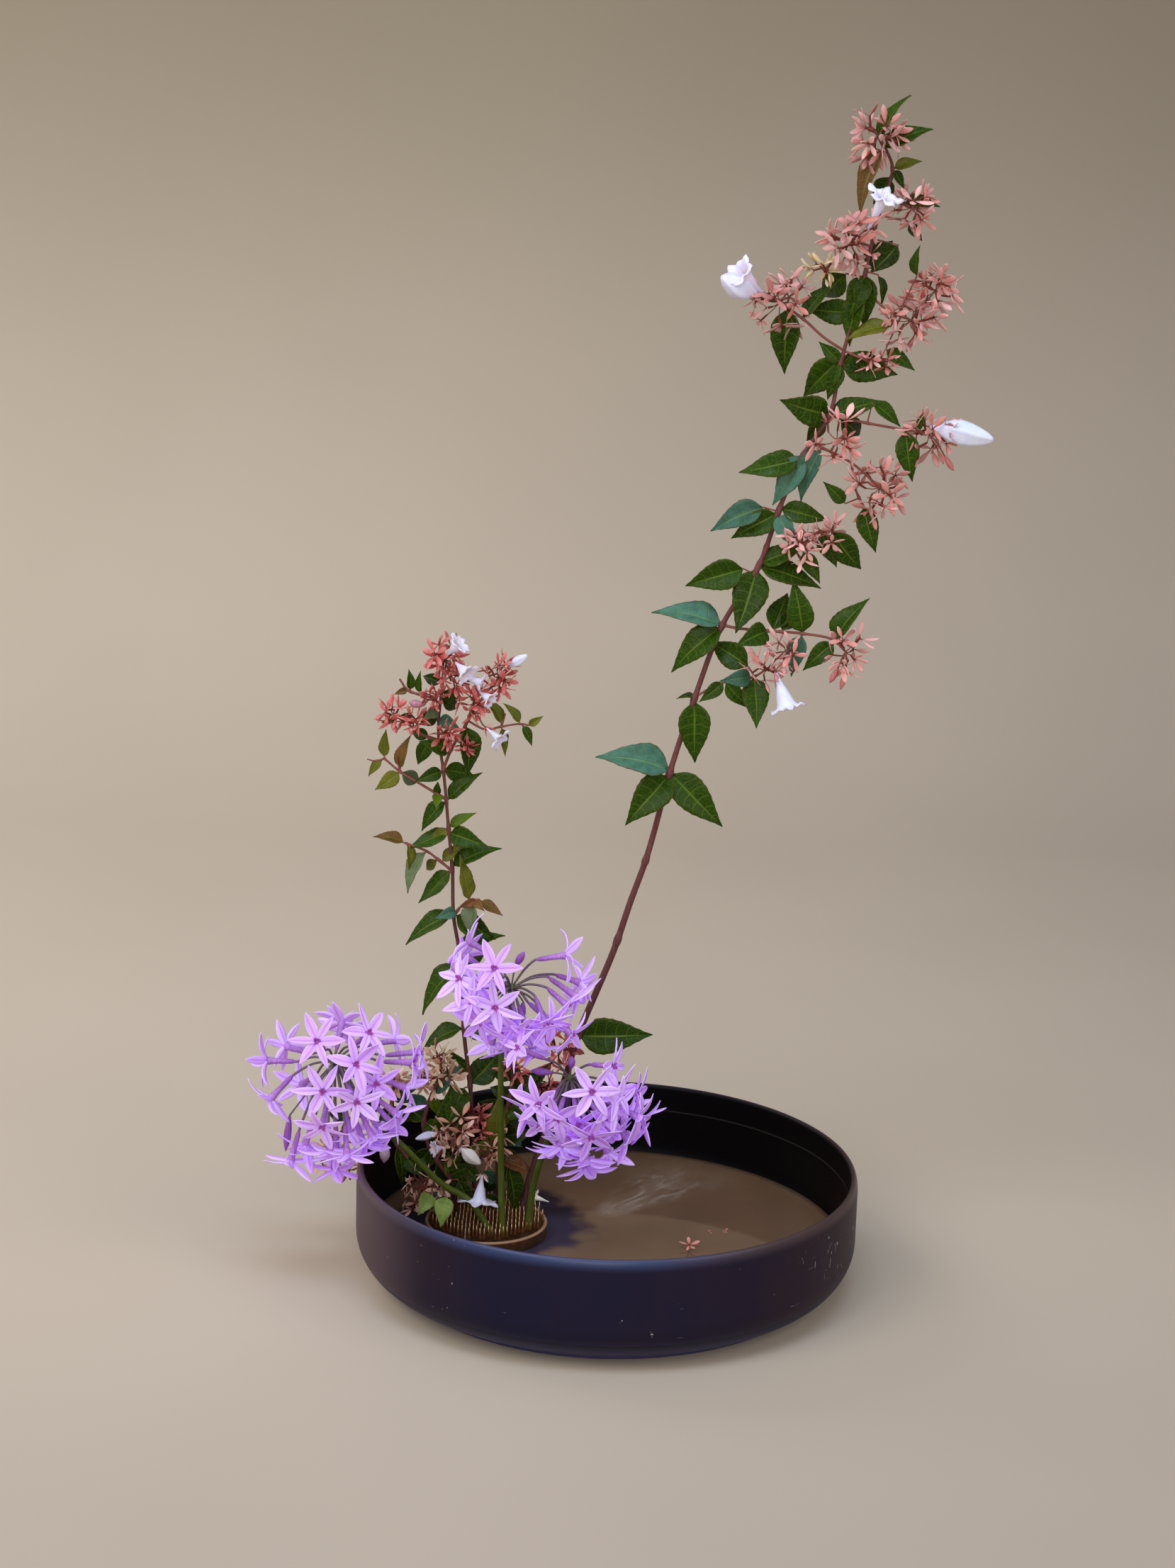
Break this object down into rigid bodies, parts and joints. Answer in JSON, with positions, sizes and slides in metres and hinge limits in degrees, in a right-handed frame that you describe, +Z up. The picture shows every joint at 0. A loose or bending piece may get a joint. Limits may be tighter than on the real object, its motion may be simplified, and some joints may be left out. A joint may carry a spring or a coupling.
{
  "type": "ikebana arrangement",
  "caption": "Flowering shrub branches and lilac garlic umbels set on a pin holder in a low round dark bowl of water.",
  "frame": {"origin": "centre of the bowl's flat foot, on the surface it stands on", "axes": "+Z up; -Y is the front that the picture shows; +X is to the right seen from the front, where the tall branch leans"},
  "size_m": [0.4127, 0.3, 0.7005],
  "materials": {
    "glazed_stoneware": "satin dark glaze",
    "water": "still dark water with a dusty film",
    "brass": "aged brass pins on a dull base",
    "abelia_leaf": "glossy leaves on thin woody twigs",
    "calyx_pink": "matt papery sepals",
    "calyx_tan": "matt papery sepals",
    "abelia_white": "soft thin petals",
    "garlic_lilac": "soft thin petals on slim stalks",
    "garlic_scape": "smooth green stalk"
  },
  "bodies": {
    "root": {"bowl": "glazed_stoneware", "fallen_calyx": "calyx_pink", "fallen_flower": "abelia_white", "low_bunch_behind": "calyx_tan", "low_bunch_front": "calyx_tan", "low_bunch_high": "calyx_tan", "low_bunch_left": "calyx_tan", "low_bunch_middle": "calyx_tan", "low_bunch_over_rim": "calyx_tan", "low_bunch_right": "calyx_tan", "low_bunch_scape": "calyx_tan", "low_bunch_upper": "calyx_tan", "low_flower_hanging": "abelia_white", "low_flower_left": "abelia_white", "low_flower_small": "abelia_white", "low_flower_wilted": "abelia_white", "low_sprig_back": "abelia_leaf", "low_sprig_front": "abelia_leaf", "low_sprig_left": "abelia_leaf", "middle_branch": "abelia_leaf", "middle_bunch_centre": "calyx_pink", "middle_bunch_inner": "calyx_pink", "middle_bunch_left": "calyx_pink", "middle_bunch_right": "calyx_pink", "middle_bunch_top": "calyx_pink", "middle_flower_centre": "abelia_white", "middle_flower_inner": "abelia_white", "middle_flower_low": "abelia_white", "middle_flower_right": "abelia_white", "middle_flower_top": "abelia_white", "middle_stars": "calyx_pink", "pin_holder": "brass", "scape_left": "garlic_scape", "scape_middle": "garlic_scape", "scape_right": "garlic_scape", "tall_branch": "abelia_leaf", "tall_bunch_far_right": "calyx_pink", "tall_bunch_hanging": "calyx_pink", "tall_bunch_left": "calyx_pink", "tall_bunch_low": "calyx_pink", "tall_bunch_lower": "calyx_pink", "tall_bunch_middle": "calyx_pink", "tall_bunch_right": "calyx_pink", "tall_bunch_top": "calyx_pink", "tall_bunch_twig": "calyx_pink", "tall_bunch_twig_end": "calyx_pink", "tall_bunch_upper": "calyx_pink", "tall_bunch_upper_right": "calyx_pink", "tall_flower_left": "abelia_white", "tall_flower_lower": "abelia_white", "tall_flower_right": "abelia_white", "tall_flower_upper": "abelia_white", "tall_stars": "calyx_pink", "umbel_left": "garlic_lilac", "umbel_middle": "garlic_lilac", "umbel_right": "garlic_lilac", "water": "water"}
  },
  "joints": []
}
